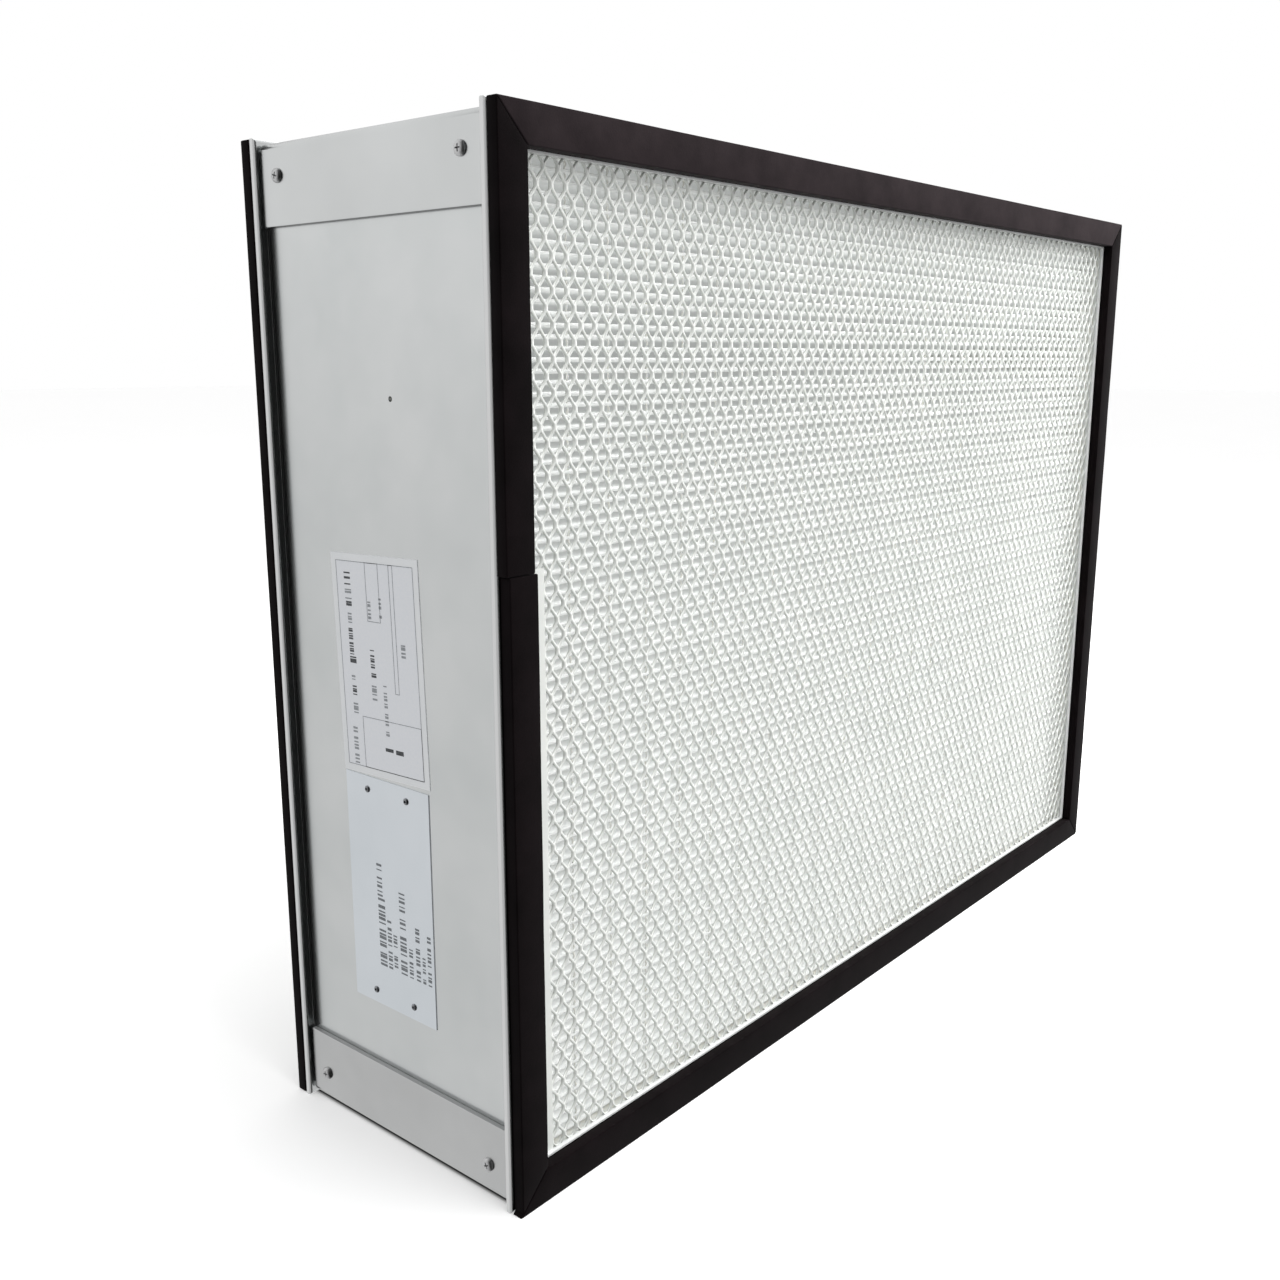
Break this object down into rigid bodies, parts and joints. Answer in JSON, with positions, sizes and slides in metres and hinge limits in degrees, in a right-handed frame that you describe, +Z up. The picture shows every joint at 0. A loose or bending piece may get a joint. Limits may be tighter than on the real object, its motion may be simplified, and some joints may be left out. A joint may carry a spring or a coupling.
{
  "type": "hepa filter box",
  "caption": "Upright rectangular air filter: a folded aluminium box frame round a pleated paper pack, with a white mesh guard and a black sponge gasket on each face.",
  "frame": {"origin": "the middle of the box, on the surface that it stands on", "axes": "+X across the face, +Y from the front face to the rear face, +Z up"},
  "size_m": [0.61, 0.161, 0.457],
  "materials": {
    "frame": "satin",
    "screws": "satin",
    "gasket": "matte",
    "guard": "satin",
    "pack": "matte",
    "threads": "matte",
    "seal": "matte",
    "label": "matte",
    "plate": "satin"
  },
  "bodies": {
    "root": {"frame_bottom": "frame", "frame_top": "frame", "frame_left": "frame", "frame_right": "frame", "corner_bracket_top_left": "frame", "corner_bracket_top_right": "frame", "corner_bracket_bottom_left": "frame", "corner_bracket_bottom_right": "frame", "bracket_screws_top_left": "screws", "bracket_screws_top_right": "screws", "bracket_screws_bottom_left": "screws", "bracket_screws_bottom_right": "screws", "gasket_front_bottom": "gasket", "gasket_front_top": "gasket", "gasket_front_right": "gasket", "gasket_front_left_upper": "gasket", "gasket_front_left_lower": "gasket", "gasket_rear_bottom": "gasket", "gasket_rear_top": "gasket", "gasket_rear_left": "gasket", "gasket_rear_right": "gasket", "guard_front": "guard", "guard_rear": "guard", "pleated_pack": "pack", "spacer_threads_front": "threads", "spacer_threads_rear": "threads", "seal_bottom": "seal", "seal_top": "seal", "seal_left": "seal", "seal_right": "seal", "rating_label": "label", "name_plate": "plate", "plate_rivets": "screws"}
  },
  "joints": []
}
